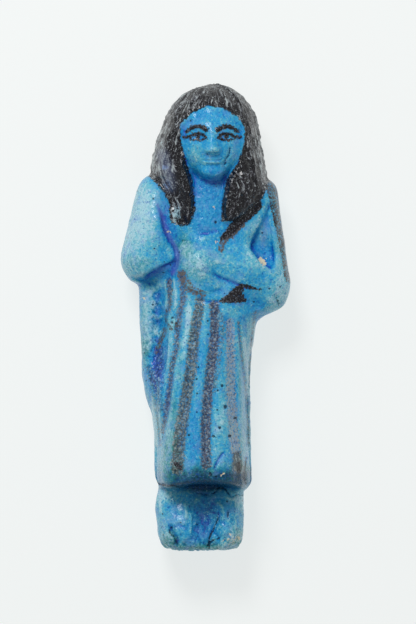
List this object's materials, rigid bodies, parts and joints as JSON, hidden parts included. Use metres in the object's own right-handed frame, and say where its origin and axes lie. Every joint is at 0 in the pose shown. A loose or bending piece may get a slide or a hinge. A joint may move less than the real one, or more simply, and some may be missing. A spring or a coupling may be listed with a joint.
{
  "type": "ushabti figurine",
  "caption": "Blue glazed funerary figurine in a long wig and pleated kilt, one arm hanging from a wide sleeve and the other bent across the waist, lying on its flat back.",
  "frame": {"origin": "middle of the figure's footprint, on the surface that its flat back lies on", "axes": "+Y towards the crown, +Z out of the chest, X across the figure"},
  "size_m": [0.0438, 0.1202, 0.0293],
  "materials": {
    "faience": "glossy blue glaze with black painted detail"
  },
  "bodies": {
    "root": {"ushabti_figurine": "faience"}
  },
  "joints": []
}
